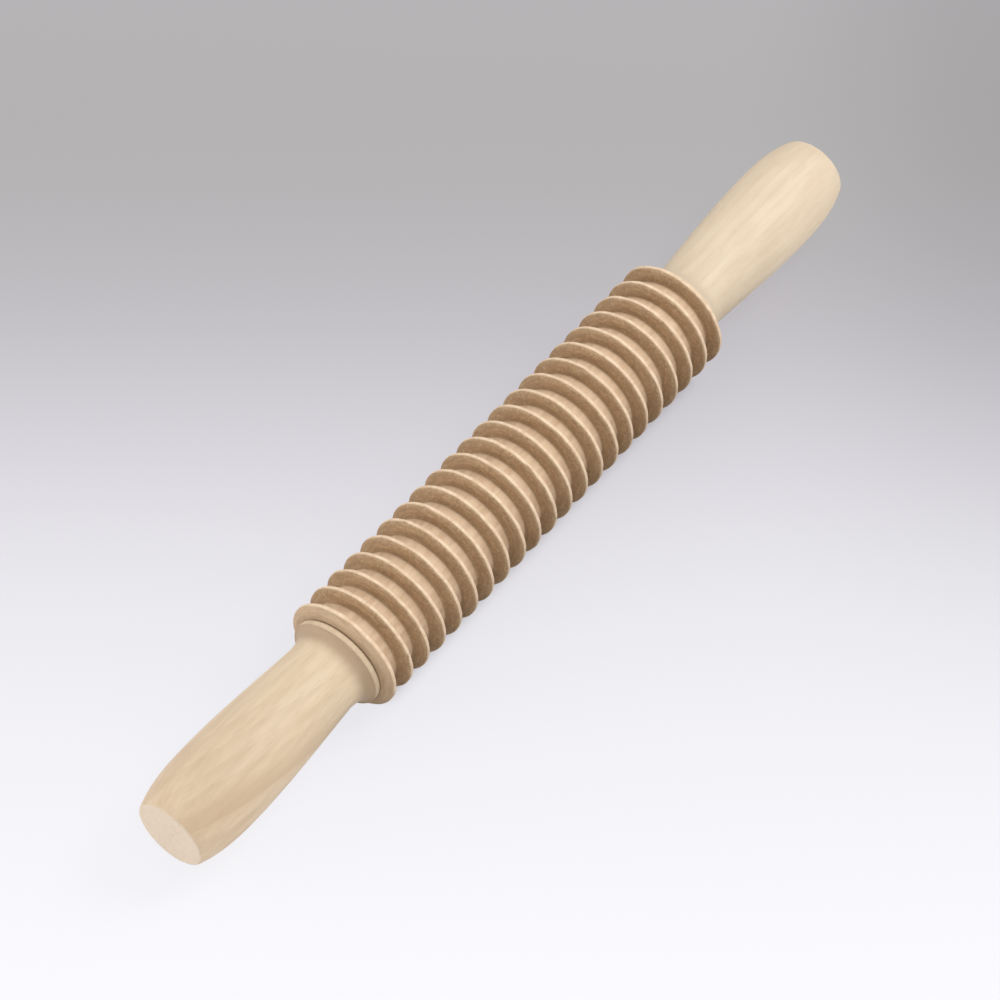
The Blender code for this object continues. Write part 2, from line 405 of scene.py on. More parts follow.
handleWoodSettings = {
    "left": {
        "pale": (0.777, 0.618, 0.435),
        "ringTint": (0.62, 0.450, 0.280),
        "fibreTint": (0.67, 0.500, 0.325),
        "fleckTint": (0.52, 0.365, 0.220),
        "coveEndGrainAndShade": (0.450, 0.314, 0.199),
        "cutEnd": (0.755, 0.634, 0.515),
        "pith": (-58.1, -33.4),
        "ringWidth": 4.2,
        "slant": (-0.197, -0.114),
        "ringShow": 0.22,
        "mottleTint": (0.87, 0.820, 0.770),
        "mottleLight": (1.10, 1.120, 1.130),
        "tipTint": (0.915, 0.887, 0.875),  # multiplies the colour towards the tip
        "heartEdge": 29.4,  # mm from the pith, where a broad darker ring begins
        "heartWidth": 7.0,
        "heartShow": 0.55,
        "wander": 1.3,
        "seed": 4.2,
        "wear": (14.0, 0.5, 4.2),
        "marks": (0.7, 4.2),
    },
    "right": {
        "pale": (0.778, 0.642, 0.476),
        "ringTint": (0.68, 0.525, 0.355),
        "fibreTint": (0.73, 0.580, 0.405),
        "fleckTint": (0.58, 0.425, 0.275),
        "coveEndGrainAndShade": (0.70, 0.560, 0.410),
        "cutEnd": (0.90, 0.775, 0.645),
        "pith": (34.0, 31.0),
        "ringWidth": 3.8,
        "slant": (0.0, -0.06),
        "ringShow": 0.28,
        "mottleTint": (0.89, 0.850, 0.800),
        "mottleLight": (1.09, 1.110, 1.120),
        "tipTint": (1.040, 1.030, 1.030),
        "heartEdge": 27.0,
        "heartWidth": 6.0,
        "heartShow": 0.25,
        "wander": 1.4,
        "seed": 9.6,
        "wear": (14.0, 0.5, 9.6),
        "marks": (0.7, 9.6),
    },
    "both": {
        "fibreShow": 0.30,
        "fleckShow": 0.14,
        "mottleShow": 0.38,
        "roughness": (0.46, 0.60),
        "endRoughness": 0.12,  # added on the cut end
        "rubRoughness": -0.06,
        "tipReach": (0.100, 0.152),  # places along the pin, in metres
        "coveReach": (0.0915, 0.0945),
        "endReach": (0.150, 0.158),
        "coveLean": (0.04, 0.45),
        "endLean": (0.55, 0.95),
        "heartRamp": 0.5,  # mm over which the broad ring sets in
        "poreScale": 1.3,
        "poreReach": (0.50, 0.66),
        "coveShow": 0.86,
        "cutShow": 0.78,
        "poreShow": 0.32,
        "rubShow": 0.10,
        "markHeight": 0.16,
        "bump": (0.40, 0.00010),
        "gloss": 0.40,
    },
}

timberReach = {"fibres": (0.40, 0.70), "patches": (0.30, 0.70)}  # where the tints set in and are full


def timberColour(tree, place, settings):
    grain = useGroup(
        tree, timberGrain, place=place, pithSide=settings["pith"][0], pithDown=settings["pith"][1],
        slantSide=settings["slant"][0], slantDown=settings["slant"][1],
        ringWidth=settings["ringWidth"], wander=settings["wander"], seed=settings["seed"],
    )
    rings, flecks = grain["rings"], grain["flecks"]
    colour = tinted(tree, settings["pale"], settings["ringTint"], rings, settings["ringShow"])
    streaks = step(tree, grain["fibres"], *timberReach["fibres"])
    colour = tinted(tree, colour, settings["fibreTint"], streaks, settings["fibreShow"])
    colour = tinted(tree, colour, settings["fleckTint"], flecks, settings["fleckShow"])
    darker = blendColour(tree, 1.0, colour, settings["mottleTint"], "MULTIPLY")
    lighter = blendColour(tree, 1.0, colour, settings["mottleLight"], "MULTIPLY")
    patches = step(tree, grain["mottle"], *timberReach["patches"])
    colour = blendColour(tree, settings["mottleShow"], colour, blendColour(tree, patches, darker, lighter))
    return grain, colour


def normalAlong(tree):  # turning about X leaves this part of the normal alone
    return alongAxis(tree, addNode(tree, "ShaderNodeNewGeometry").outputs["Normal"])


def addWear(tree, place, wear):
    size, amount, seed = wear
    return useGroup(tree, softWear, place=place, size=size, amount=amount, seed=seed)


def addMarks(tree, place, marks):
    spacing, seed = marks
    return useGroup(tree, toolMarks, place=place, spacing=spacing, seed=seed)["marks"]


def finishSurface(tree, shader, roughness, height, settings):
    feed(tree, shader.inputs["Roughness"], roughness)
    strength, distance = settings["bump"]
    bump = addNode(tree, "ShaderNodeBump", {"Strength": strength, "Distance": distance, "Height": height})
    feed(tree, shader.inputs["Normal"], bump.outputs["Normal"])
    shader.inputs["Specular IOR Level"].default_value = settings["gloss"]


def makeBarrelWood(settings, barrel):
    material, tree, shader = startMaterial("barrelWood")
    place = ownPlace(tree)
    grain, colour = timberColour(tree, place, settings)
    sizes = {
        "pitch": barrel["ribPitch"],
        "crestRadius": barrel["crestRadius"],
        "depth": barrel["grooveDepth"],
        "crestNear": barrel["crestNear"],
        "crestFar": barrel["crestFar"],
        "lastRib": lastRibPlace(barrel),
    }
    zones = useGroup(tree, ribZones, place=place, **{label: size * 1000 for label, size in sizes.items()})
    sunk, outside = zones["sunk"], zones["outside"]
    # painted shade at the bottom of the grooves
    shaded = blendColour(tree, 1.0, colour, settings["floorShade"], "MULTIPLY")
    colour = blendColour(tree, step(tree, sunk, *settings["floorReach"]), colour, shaded)

    # the ribs' sides that look to the near end, and both flat ends, in end-grain colour with painted shade,
    # darker deeper in the grooves; the end rib's open side takes a lighter copy, with painted shade towards
    # its foot
    lean = normalAlong(tree)
    towardsNear = step(tree, times(tree, lean, -1.0), *settings["nearLean"])
    facing = calc(tree, "MAXIMUM", towardsNear, step(tree, lean, *settings["farLean"]))
    flank = blendColour(tree, sunk, settings["shadedFlankHigh"], settings["shadedFlankLow"])
    inner = step(tree, sunk, *settings["endFlankReach"])
    endFlank = blendColour(tree, inner, settings["endFlank"], settings["shadedEndFlankLow"])
    flank = blendColour(tree, outside, flank, endFlank)

    # streaks that the cutter left round each rib
    inMm = inMillimetres(tree, place)
    offAxis = vecCalc(tree, "LENGTH", vecCalc(tree, "MULTIPLY", inMm, (0.0, 1.0, 1.0)))
    rounds = {"X": times(tree, offAxis, settings["streakTurn"])}
    rounds = addNode(tree, "ShaderNodeCombineXYZ", rounds).outputs[0]
    turned = vecCalc(tree, "ADD", vecCalc(tree, "MULTIPLY", inMm, settings["streakStretch"]), rounds)
    bands = grainNoise(tree, turned, settings["streakScale"], 4.0, 0.65)
    streaks = step(tree, bands, *settings["streakReach"])
    flank = tinted(tree, flank, settings["streakTint"], streaks, settings["streakShow"])
    gaps = step(tree, opposite(tree, bands), *settings["streakGapReach"])
    flank = tinted(tree, flank, settings["darkGrainAndRootShade"], gaps, settings["streakShow"])
    colour = tinted(tree, colour, flank, facing, settings["flankShow"])

    # torn end grain on the ribs' sides: short dark tufts, and pale dust beside them
    tufts = grainNoise(tree, inMm, settings["tuftScale"], 4.0, 0.75)
    rough = times(tree, facing, calc(tree, "MULTIPLY_ADD", outside, settings["endTorn"] - 1.0, 1.0))
    torn = times(tree, step(tree, tufts, *settings["tornReach"]), rough)
    colour = tinted(tree, colour, settings["darkGrainAndRootShade"], torn, settings["tornShow"])
    fluff = times(tree, step(tree, opposite(tree, tufts), *settings["fluffReach"]), rough)
    colour = tinted(tree, colour, settings["fibreTint"], fluff, settings["fluffShow"])

    # painted shade at the roots of the grooves
    colour = tinted(tree, colour, settings["darkGrainAndRootShade"], zones["root"], settings["rootShadeShow"])
    # arrises lighten in worn patches, and every crest top is lightened as painted highlight; not on the
    # sides that look along the pin
    wear = addWear(tree, place, settings["wear"])
    rubbed = times(tree, zones["arris"], times(tree, wear["rub"], settings["rubShow"]))
    rubbed = calc(tree, "MAXIMUM", rubbed, times(tree, zones["crest"], settings["crestHighlightShow"]))
    colour = blendColour(tree, times(tree, rubbed, opposite(tree, facing)), colour, settings["arrisWearAndHighlight"])
    feed(tree, shader.inputs["Base Color"], colour)

    roughness = between(tree, grain["fibres"], settings["roughness"])
    roughness = calc(tree, "MULTIPLY_ADD", facing, settings["flankRoughness"], roughness)
    marks = addMarks(tree, place, settings["marks"])
    height = calc(tree, "MULTIPLY_ADD", marks, settings["markHeight"], grain["relief"])
    height = calc(tree, "MULTIPLY_ADD", torn, settings["tornHeight"], height)
    finishSurface(tree, shader, roughness, height, settings)
    return material


def makeHandleWood(name, settings):
    material, tree, shader = startMaterial(name)
    place = ownPlace(tree)
    grain, colour = timberColour(tree, place, settings)
    edge, reach = settings["heartEdge"], grain["fromPith"]
    fading = opposite(tree, step(tree, reach, edge, edge + settings["heartWidth"]))
    heart = times(tree, step(tree, reach, edge - settings["heartRamp"], edge), fading)
    colour = tinted(tree, colour, settings["ringTint"], heart, settings["heartShow"])

    # tip, cove and cut end; the cove gets end-grain colour with painted shade where it faces the barrel
    squareness = calc(tree, "ABSOLUTE", normalAlong(tree))
    facing = step(tree, squareness, *settings["endLean"])
    along = calc(tree, "ABSOLUTE", alongAxis(tree, place))
    atTip = blendColour(tree, 1.0, colour, settings["tipTint"], "MULTIPLY")
    colour = blendColour(tree, step(tree, along, *settings["tipReach"]), colour, atTip)
    # painted shade with end-grain colour where the cove turns to face the barrel
    inCove = opposite(tree, step(tree, along, *settings["coveReach"]))
    cove = times(tree, step(tree, squareness, *settings["coveLean"]), inCove)
    colour = tinted(tree, colour, settings["coveEndGrainAndShade"], cove, settings["coveShow"])
    cut = times(tree, facing, step(tree, along, *settings["endReach"]))
    colour = tinted(tree, colour, settings["cutEnd"], cut, settings["cutShow"])
    pores = grainNoise(tree, inMillimetres(tree, place), settings["poreScale"], 3.0, 0.7)
    specks = times(tree, step(tree, pores, *settings["poreReach"]), facing)
    colour = tinted(tree, colour, settings["fleckTint"], specks, settings["poreShow"])
    rubbed = addWear(tree, place, settings["wear"])["rub"]
    colour = tinted(tree, colour, settings["ringTint"], rubbed, settings["rubShow"])
    feed(tree, shader.inputs["Base Color"], colour)

    roughness = between(tree, grain["fibres"], settings["roughness"])
    roughness = calc(tree, "MULTIPLY_ADD", rubbed, settings["rubRoughness"], roughness)
    roughness = calc(tree, "MULTIPLY_ADD", facing, settings["endRoughness"], roughness)
    marks = addMarks(tree, place, settings["marks"])
    height = calc(tree, "MULTIPLY_ADD", marks, settings["markHeight"], grain["relief"])
    finishSurface(tree, shader, roughness, height, settings)
    return material


metalSettings = {
    "rod": {
        "pale": (0.60, 0.60, 0.61),
        "dull": (0.42, 0.42, 0.43),
        "roughness": (0.26, 0.46),
        "wear": (4.0, 0.6, 1.0),  # width of the patches in mm, amount, seed
        "marks": (0.22, 1.0),  # spacing in mm, seed
    },
    "washer": {
        "pale": (0.64, 0.64, 0.65),
        "dull": (0.47, 0.47, 0.48),
        "roughness": (0.24, 0.42),
        "wear": (4.0, 0.6, 2.0),
        "marks": (0.30, 2.0),
    },
    "insert": {
        "pale": (0.72, 0.50, 0.20),
        "dull": (0.50, 0.33, 0.13),
        "roughness": (0.28, 0.48),
        "wear": (4.0, 0.6, 3.0),
        "marks": (0.25, 3.0),
    },
    "all": {
        "rubShow": 0.7,
        "scratchShow": 0.4,
        "bump": (0.30, 0.00003),
        "gloss": 0.5,
    },
}


def makeMetal(name, settings):
    material, tree, shader = startMaterial(name)
    place = ownPlace(tree)
    wear = addWear(tree, place, settings["wear"])
    colour = tinted(tree, settings["pale"], settings["dull"], wear["rub"], settings["rubShow"])
    colour = tinted(tree, colour, settings["dull"], wear["scratch"], settings["scratchShow"])
    feed(tree, shader.inputs["Base Color"], colour)
    roughness = between(tree, wear["rub"], settings["roughness"])
    height = calc(tree, "SUBTRACT", addMarks(tree, place, settings["marks"]), wear["scratch"])
    finishSurface(tree, shader, roughness, height, settings)
    shader.inputs["Metallic"].default_value = 1.0
    return material


nylonSettings = {
    "pale": (0.80, 0.775, 0.700),
    "warm": (0.70, 0.660, 0.560),
    "rubShow": 0.6,
    "wear": (5.0, 0.5, 6.0),
    "pimpleScale": 3.0,
    "scratchDepth": 0.5,
    "roughness": (0.36, 0.52),
    "bump": (0.25, 0.00004),
    "gloss": 0.5,
    "glow": (0.15, 0.002),  # share of the light that goes in, and how far in metres
}


def makeNylon(settings):
    material, tree, shader = startMaterial("bushNylon")
    place = ownPlace(tree)
    wear = addWear(tree, place, settings["wear"])
    colour = tinted(tree, settings["pale"], settings["warm"], wear["rub"], settings["rubShow"])
    feed(tree, shader.inputs["Base Color"], colour)
    roughness = between(tree, wear["rub"], settings["roughness"])
    pimples = grainNoise(tree, inMillimetres(tree, place), settings["pimpleScale"])
    height = calc(tree, "SUBTRACT", pimples, times(tree, wear["scratch"], settings["scratchDepth"]))
    finishSurface(tree, shader, roughness, height, settings)
    share, reach = settings["glow"]
    shader.inputs["Subsurface Weight"].default_value = share
    shader.inputs["Subsurface Scale"].default_value = reach
    return material


# turned shapes

def roundCorners(corners, closed=False):
    points = []
    count = len(corners)
    for i, (x, r, rounding) in enumerate(corners):
        here = Vector((x, r))
        atEnd = not closed and i in (0, count - 1)
        if atEnd or rounding <= 0:
            points.append((x, r))
            continue
        before = Vector(corners[i - 1][:2]) - here
        after = Vector(corners[(i + 1) % count][:2]) - here
        half = before.angle(after) / 2
        reach = min(rounding / math.tan(half), before.length * 0.49, after.length * 0.49)
        radius = reach * math.tan(half)
        bisector = (before.normalized() + after.normalized()).normalized()
        centre = here + bisector * (radius / math.sin(half))
        first = here + before.normalized() * reach - centre
        last = here + after.normalized() * reach - centre
        sweep = math.pi - 2 * half
        steps = max(2, round(sweep / math.radians(18)))  # a facet about every 18 degrees
        turn = 1 if first.x * last.y - first.y * last.x > 0 else -1
        for k in range(steps + 1):
            angle = turn * sweep * k / steps
            points.append((
                centre.x + first.x * math.cos(angle) - first.y * math.sin(angle),
                centre.y + first.x * math.sin(angle) + first.y * math.cos(angle),
            ))
    return points


def spin(name, outline, segments, material, closed=False, reshape=None, smoothAngle=32):
    points = []
    faces = []
    rows = []
    for x, r in outline:
        if r < 1e-9:
            rows.append([len(points)])
            points.append((x, 0.0, 0.0))
            continue
        row = []
        for k in range(segments):
            angle = math.tau * k / segments
            px, pr = reshape(x, r, angle) if reshape else (x, r)
            row.append(len(points))
            points.append((px, pr * math.sin(angle), pr * math.cos(angle)))
        rows.append(row)
    pairs = list(zip(rows, rows[1:]))
    if closed:
        pairs.append((rows[-1], rows[0]))
    for first, second in pairs:
        for k in range(segments):
            following = (k + 1) % segments
            loop = [
                first[k % len(first)], first[following % len(first)],
                second[following % len(second)], second[k % len(second)],
            ]
            loop = list(dict.fromkeys(loop))  # a point on the axis counts once
            if len(loop) > 2:
                faces.append(loop)
    mesh = bpy.data.meshes.new(name)
    mesh.from_pydata(points, [], faces)
    mesh.update()
    if signedVolume(mesh) < 0:
        mesh.flip_normals()
    mesh.shade_smooth()
    mesh.set_sharp_from_angle(angle=math.radians(smoothAngle))
    mesh.materials.append(material)
    return intoScene(bpy.data.objects.new(name, mesh))


def signedVolume(mesh):
    total = 0.0
    for face in mesh.polygons:
        corners = [mesh.vertices[i].co for i in face.vertices]
        for second, third in zip(corners[1:], corners[2:]):
            total += corners[0].dot(second.cross(third))
    return total


def settle(piece, body, node):
    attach(piece, body)
    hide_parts(node)
    return piece


def roundPoint(along, angle, across):
    return Vector((along, math.sin(angle) * across, math.cos(angle) * across))


def patchy(spot):  # between 0 and 1
    return 0.5 + 0.5 * noise.noise(spot)


def mirrored(outline, side):
    return [(x * side, r) for x, r in outline]


# barrel

barrelSettings = {
    "ribCount": 22,
    "ribPitch": 0.0078,
    "crestRadius": 0.0191,  # the CAD barrel's flats, which it lies on
    "crestNear": 0.00056,  # the crest's edges, from the rib's middle, the far one further out
    "crestFar": 0.00115,
    "nearRounding": 0.00095,
    "farRounding": 0.0005,
    "grooveDepth": 0.0043,
    "flankRun": 0.00075,
    "rootFillet": 0.0011,
    "halfLength": 0.0838,
    "endConeRadius": 0.0154,  # where the end rib's slope meets the flat end
    "flangeSeat": (0.0088, 0.0019),
    "sleeveSeat": (0.0063, 0.0143),
    "rodWay": 0.0048,
    "segments": 216,
    "wornDepth": 0.0006,  # only the crests wear, down to here
    "unevenness": 0.00009,
    "patchScale": (900, 9),  # of the noise along the barrel and round it
    "wobble": 0.00018,  # how far a rib's edge strays along the barrel
    "wobbleScale": (3.1, 3.6),  # from rib to rib and round it
    "nickCount": 34,
    "nickDepth": 0.00028,
    "nickReach": (0.0005, 0.0012),  # along the barrel and round it
}


def lastRibPlace(settings):
    return (settings["ribCount"] - 1) * settings["ribPitch"] / 2


def barrelOutline(settings):
    lastRib = lastRibPlace(settings)
    crest = settings["crestRadius"]
    floor = crest - settings["grooveDepth"]
    near, far = settings["crestNear"], settings["crestFar"]
    corners = []
    for i in range(settings["ribCount"]):
        rib = -lastRib + i * settings["ribPitch"]
        if i > 0:
            corners.append((rib - near - settings["flankRun"], floor, settings["rootFillet"]))
        corners.append((rib - near, crest, settings["nearRounding"]))
        corners.append((rib + far, crest, settings["farRounding"]))
        if i < settings["ribCount"] - 1:
            corners.append((rib + far + settings["flankRun"], floor, settings["rootFillet"]))
    end = settings["halfLength"]
    flange, flangeDepth = settings["flangeSeat"]
    sleeve, sleeveDepth = settings["sleeveSeat"]
    boreEnd = [
        (end, settings["endConeRadius"], 0.0003),
        (end, flange, 0.0),
        (end - flangeDepth, flange, 0.0),
        (end - flangeDepth, sleeve, 0.0),
        (end - sleeveDepth, sleeve, 0.0),
        (end - sleeveDepth, settings["rodWay"], 0.0),
    ]
    other = [(-x, r, rounding) for x, r, rounding in reversed(boreEnd)]
    return roundCorners(corners + boreEnd + other, closed=True)


def drawn(along, side, up):  # a chance number, always the same at the same place
    return noise.cell(Vector((along + 0.5, side, up)))


def chooseNicks(settings):  # places along and round the barrel, and depths
    count = settings["ribCount"]
    nicks = []
    for i in range(settings["nickCount"]):
        where = drawn(i * 3.7, 11.5, 4.5) * math.tau
        rib = int(drawn(i * 5.3, 2.5, 8.5) * count) % count
        depth = settings["nickDepth"] * (0.4 + 0.6 * drawn(i * 2.9, 7.5, 1.5))
        onFarEdge = drawn(i * 7.1, 3.5, 6.5) > 0.5
        edge = settings["crestFar"] if onFarEdge else -settings["crestNear"]
        nicks.append((rib * settings["ribPitch"] - lastRibPlace(settings) + edge, where, depth))
    return nicks


def makeBarrel(settings, material):
    crest = settings["crestRadius"]
    nicks = chooseNicks(settings)
    nickLength, nickWidth = settings["nickReach"]

    def worn(x, r, angle):
        if crest - r > settings["wornDepth"]:
            return x, r
        along, across = settings["patchScale"]
        r -= settings["unevenness"] * patchy(roundPoint(x * along, angle, across))
        rib = round(x / settings["ribPitch"] - 0.5)
        along, across = settings["wobbleScale"]
        shift = settings["wobble"] * noise.noise(roundPoint(rib * along, angle, across))
        for place, where, depth in nicks:
            gap = abs(math.remainder(angle - where, math.tau)) * crest
            if abs(x - place) < nickLength and gap < nickWidth:
                r -= depth * (1 - (gap / nickWidth) ** 2)
        return x + shift, r

    outline = barrelOutline(settings)
    piece = spin("ribbedBarrel", outline, settings["segments"], material, closed=True, reshape=worn)
    return settle(piece, "roller", "barrel")


# handles

handleSettings = {
    "face": 0.0840,  # where the handle looks at the barrel
    "length": 0.0764,
    "collarRadius": 0.0154,
    "collarWidth": 0.0021,
    "collarRounding": 0.00040,
    "collarArris": 0.00020,  # the softened edge towards the cove
    "neckRadius": 0.01225,
    "neckPlace": 0.0090,
    "neckSlope": 0.07,
    "swellRadius": 0.01475,
    "swellPlace": 0.0538,
    "tipRadius": 0.0119,
    "tipSlope": -0.36,
    "tipRound": 0.0013,
    "washerRecess": (0.0083, 0.0012),
    "insertBore": (0.0056, 0.0198),
    "collarSteps": 5,
    "coveSteps": 18,
    "neckSteps": 26,
    "tipSteps": 16,
    "roundSteps": 8,
    "segments": 144,
    "outOfRound": 0.00004,
    "patchScale": (60, 1.2),  # of the noise along the handle and round it
    "trueInside": 0.0095,  # bore, recess and the middle of the end face stay round
}


def easedRun(start, end, startSlope, endSlope, count):
    run = end[0] - start[0]
    points = []
    for i in range(1, count + 1):
        s = i / count
        rise = 3 * s ** 2 - 2 * s ** 3
        leave = s ** 3 - 2 * s ** 2 + s
        arrive = s ** 3 - s ** 2
        radius = start[1] + (end[1] - start[1]) * rise + run * (startSlope * leave + endSlope * arrive)
        points.append((start[0] + run * s, radius))
    return points


def handleOutline(settings):
    tipAngle = math.pi / 2 + math.atan(settings["tipSlope"])
    tipStart = settings["length"] - settings["tipRound"] * (1 - math.cos(tipAngle))
    faceRadius = settings["tipRadius"] - settings["tipRound"] * math.sin(tipAngle)
    recess, recessDepth = settings["washerRecess"]
    bore, boreDepth = settings["insertBore"]
    neck = (settings["neckPlace"], settings["neckRadius"])
    outline = [(boreDepth, 0.0), (boreDepth, bore), (recessDepth, bore)]
    outline += [(recessDepth, recess), (0.0, recess)]

    # collar: a narrow band rounded towards the barrel, then the cove's quarter ellipse
    collar, width = settings["collarRadius"], settings["collarWidth"]
    rounding, arris = settings["collarRounding"], settings["collarArris"]
    steps = settings["collarSteps"]
    for i in range(steps + 1):
        angle = math.pi / 2 * i / steps
        outline.append((rounding * (1 - math.cos(angle)), collar - rounding * (1 - math.sin(angle))))
    coveTop = collar - arris * 0.3
    outline += [(width - arris * 0.5, collar), (width, coveTop)]
    steps = settings["coveSteps"]
    for i in range(1, steps + 1):
        angle = math.pi / 2 * (1 - i / steps)
        radius = neck[1] + (coveTop - neck[1]) * (1 - math.cos(angle))
        outline.append((neck[0] - (neck[0] - width) * math.sin(angle), radius))

    swell, tip = (settings["swellPlace"], settings["swellRadius"]), (tipStart, settings["tipRadius"])
    outline += easedRun(neck, swell, settings["neckSlope"], 0.0, settings["neckSteps"])
    outline += easedRun(swell, tip, 0.0, settings["tipSlope"], settings["tipSteps"])
    steps = settings["roundSteps"]
    for i in range(1, steps + 1):
        angle = tipAngle * (1 - i / steps)
        radius = faceRadius + settings["tipRound"] * math.sin(angle)
        outline.append((settings["length"] - settings["tipRound"] * (1 - math.cos(angle)), radius))
    outline += [(settings["length"], faceRadius * share) for share in (0.75, 0.5, 0.25, 0.0)]
    return [(x + settings["face"], r) for x, r in outline]


def makeHandle(name, node, side, settings, material):
    def handWorked(x, r, angle):
        if r <= settings["trueInside"]:
            return x, r
        along, across = settings["patchScale"]
        spot = roundPoint(x * along, angle, across) + Vector((0, side, 0))
        return x, r - settings["outOfRound"] * patchy(spot)

    outline = mirrored(handleOutline(settings), side)
    piece = spin(name, outline, settings["segments"], material, reshape=handWorked)
    return settle(piece, "handles", node)


# rod, bushes, washers and inserts

rodSettings = {
    "radius": 0.0040,
    "shoulder": 0.0853,
    "end": 0.1016,
    "threadRadius": 0.0030,
    "threadPitch": 0.0010,
    "threadDepth": 0.00055,
    "threadShape": 1.3,  # 1 cuts a plain V, more a rounder groove
    "threadSteps": 8,  # points for each turn
    "threadRunOut": 0.0012,
    "chamfer": 0.0006,
    "shoulderChamfer": 0.0002,
    "stationGap": 0.0080,  # rings of points along the plain middle
    "segments": 48,
}

bushSettings = {
    "face": 0.0837,
    "flange": (0.0085, 0.0015),
    "sleeve": (0.0060, 0.0140),
    "bore": 0.0043,
    "chamfer": 0.0004,
    "segments": 72,
}

washerSettings = {
    "place": 0.0840,
    "radius": 0.0080,
    "bore": 0.0043,
    "thickness": 0.0010,
    "chamfer": 0.0002,
    "segments": 96,
}

insertSettings = {
    "place": 0.0856,
    "length": 0.0180,
    "radius": 0.0053,
    "ridgeDepth": 0.0009,
    "ridgePitch": 0.0030,
    "bore": 0.0033,
    "threadPitch": 0.0010,
    "threadDepth": 0.00045,
    "ridgeSharpness": 2.2,
    "ridgeSteps": 14,  # points for each turn
    "threadSteps": 6,
    "plainEnd": (0.0004, 0.0016),
    "segments": 48,
}


def fade(value, low, high):
    s = min(1.0, max(0.0, (value - low) / (high - low)))
    return s * s * (3 - 2 * s)


def makeRod(settings, material):
    shoulder, end, pitch = settings["shoulder"], settings["end"], settings["threadPitch"]
    screwed = settings["threadRadius"]
    count = round((end - shoulder) / pitch * settings["threadSteps"])
    outline = [(-end, 0.0)]
    left = []
    for i in range(count + 1):
        x = end - (end - shoulder) * i / count
        left.append((-x, min(screwed, screwed - settings["chamfer"] + (end - x))))
    chamfer, gap = settings["shoulderChamfer"], settings["stationGap"]
    outline += left + [(-shoulder, settings["radius"] - chamfer), (-shoulder + chamfer, settings["radius"])]
    outline += [(-gap * i, settings["radius"]) for i in range(int(shoulder / gap), 0, -1)]
    outline += [(-x, r) for x, r in reversed(outline)]

    def cutThread(x, r, angle):
        if abs(x) < shoulder - 1e-6 or r > screwed + 1e-6:
            return x, r
        phase = (x / pitch - angle / math.tau) % 1.0
        groove = 1 - abs(2 * phase - 1) ** settings["threadShape"]
        depth = settings["threadDepth"] * fade(abs(x), shoulder, shoulder + settings["threadRunOut"])
        return x, min(r, screwed - depth * groove)

    piece = spin("screwedRod", outline, settings["segments"], material, reshape=cutThread)
    return settle(piece, "handles", "axle_rod")


def makeBush(name, node, side, settings, material):
    face, chamfer = settings["face"], settings["chamfer"]
    flange, flangeThick = settings["flange"]
    sleeve, length = settings["sleeve"]
    corners = [
        (face, settings["bore"], chamfer * 0.5),
        (face, flange, chamfer),
        (face - flangeThick, flange, chamfer * 0.5),
        (face - flangeThick, sleeve, chamfer * 0.4),
        (face - length, sleeve, chamfer),
        (face - length, settings["bore"], chamfer * 0.5),
    ]
    outline = mirrored(roundCorners(corners, closed=True), side)
    piece = spin(name, outline, settings["segments"], material, closed=True)
    return settle(piece, "roller", node)


def makeWasher(name, node, side, settings, material):
    place, thick = settings["place"], settings["thickness"]
    corners = [
        (place, settings["bore"], settings["chamfer"]),
        (place, settings["radius"], settings["chamfer"]),
        (place + thick, settings["radius"], settings["chamfer"]),
        (place + thick, settings["bore"], settings["chamfer"]),
    ]
    outline = mirrored(roundCorners(corners, closed=True), side)
    piece = spin(name, outline, settings["segments"], material, closed=True)
    return settle(piece, "handles", node)


def makeInsert(name, node, side, settings, material):
    place, length = settings["place"], settings["length"]
    outer, bore = settings["radius"], settings["bore"]
    count = round(length / settings["ridgePitch"] * settings["ridgeSteps"])
    outline = [(place + length * i / count, outer) for i in range(count + 1)]
    inner = round(length / settings["threadPitch"] * settings["threadSteps"])
    outline += [(place + length * (1 - i / inner), bore) for i in range(inner + 1)]

    def cutRidges(x, r, angle):
        along = abs(x) - place
        ends = fade(along, *settings["plainEnd"]) * fade(length - along, *settings["plainEnd"])
        if r > bore + 1e-6:
            phase = (along / settings["ridgePitch"] - side * angle / math.tau) % 1.0
            crestHere = max(0.0, 1 - abs(2 * phase - 1) * settings["ridgeSharpness"])
            return x, outer - settings["ridgeDepth"] * (1 - crestHere * ends)
        phase = (along / settings["threadPitch"] - side * angle / math.tau) % 1.0
        return x, bore + settings["threadDepth"] * (1 - abs(2 * phase - 1)) * ends

    outline = mirrored(outline, side)
    piece = spin(name, outline, settings["segments"], material, closed=True, reshape=cutRidges)
    return settle(piece, "handles", node)


makeBarrel(barrelSettings, makeBarrelWood(barrelWoodSettings, barrelSettings))
print("barrel turned")

rodSteel = makeMetal("rodSteel", {**metalSettings["all"], **metalSettings["rod"]})
washerSteel = makeMetal("washerSteel", {**metalSettings["all"], **metalSettings["washer"]})
insertBrass = makeMetal("insertBrass", {**metalSettings["all"], **metalSettings["insert"]})
bushNylon = makeNylon(nylonSettings)
makeRod(rodSettings, rodSteel)
for side, word in ((-1, "left"), (1, "right")):
    wood = makeHandleWood(word + "HandleWood", {**handleWoodSettings["both"], **handleWoodSettings[word]})
    makeHandle(word + "Handle", "handle_" + word, side, handleSettings, wood)
    makeBush(word + "Bush", "bush_" + word, side, bushSettings, bushNylon)
    makeWasher(word + "Washer", "thrust_washer_" + word, side, washerSettings, washerSteel)
    makeInsert(word + "Insert", "threaded_insert_" + word, side, insertSettings, insertBrass)
print("handles and fittings made")


# floor and light

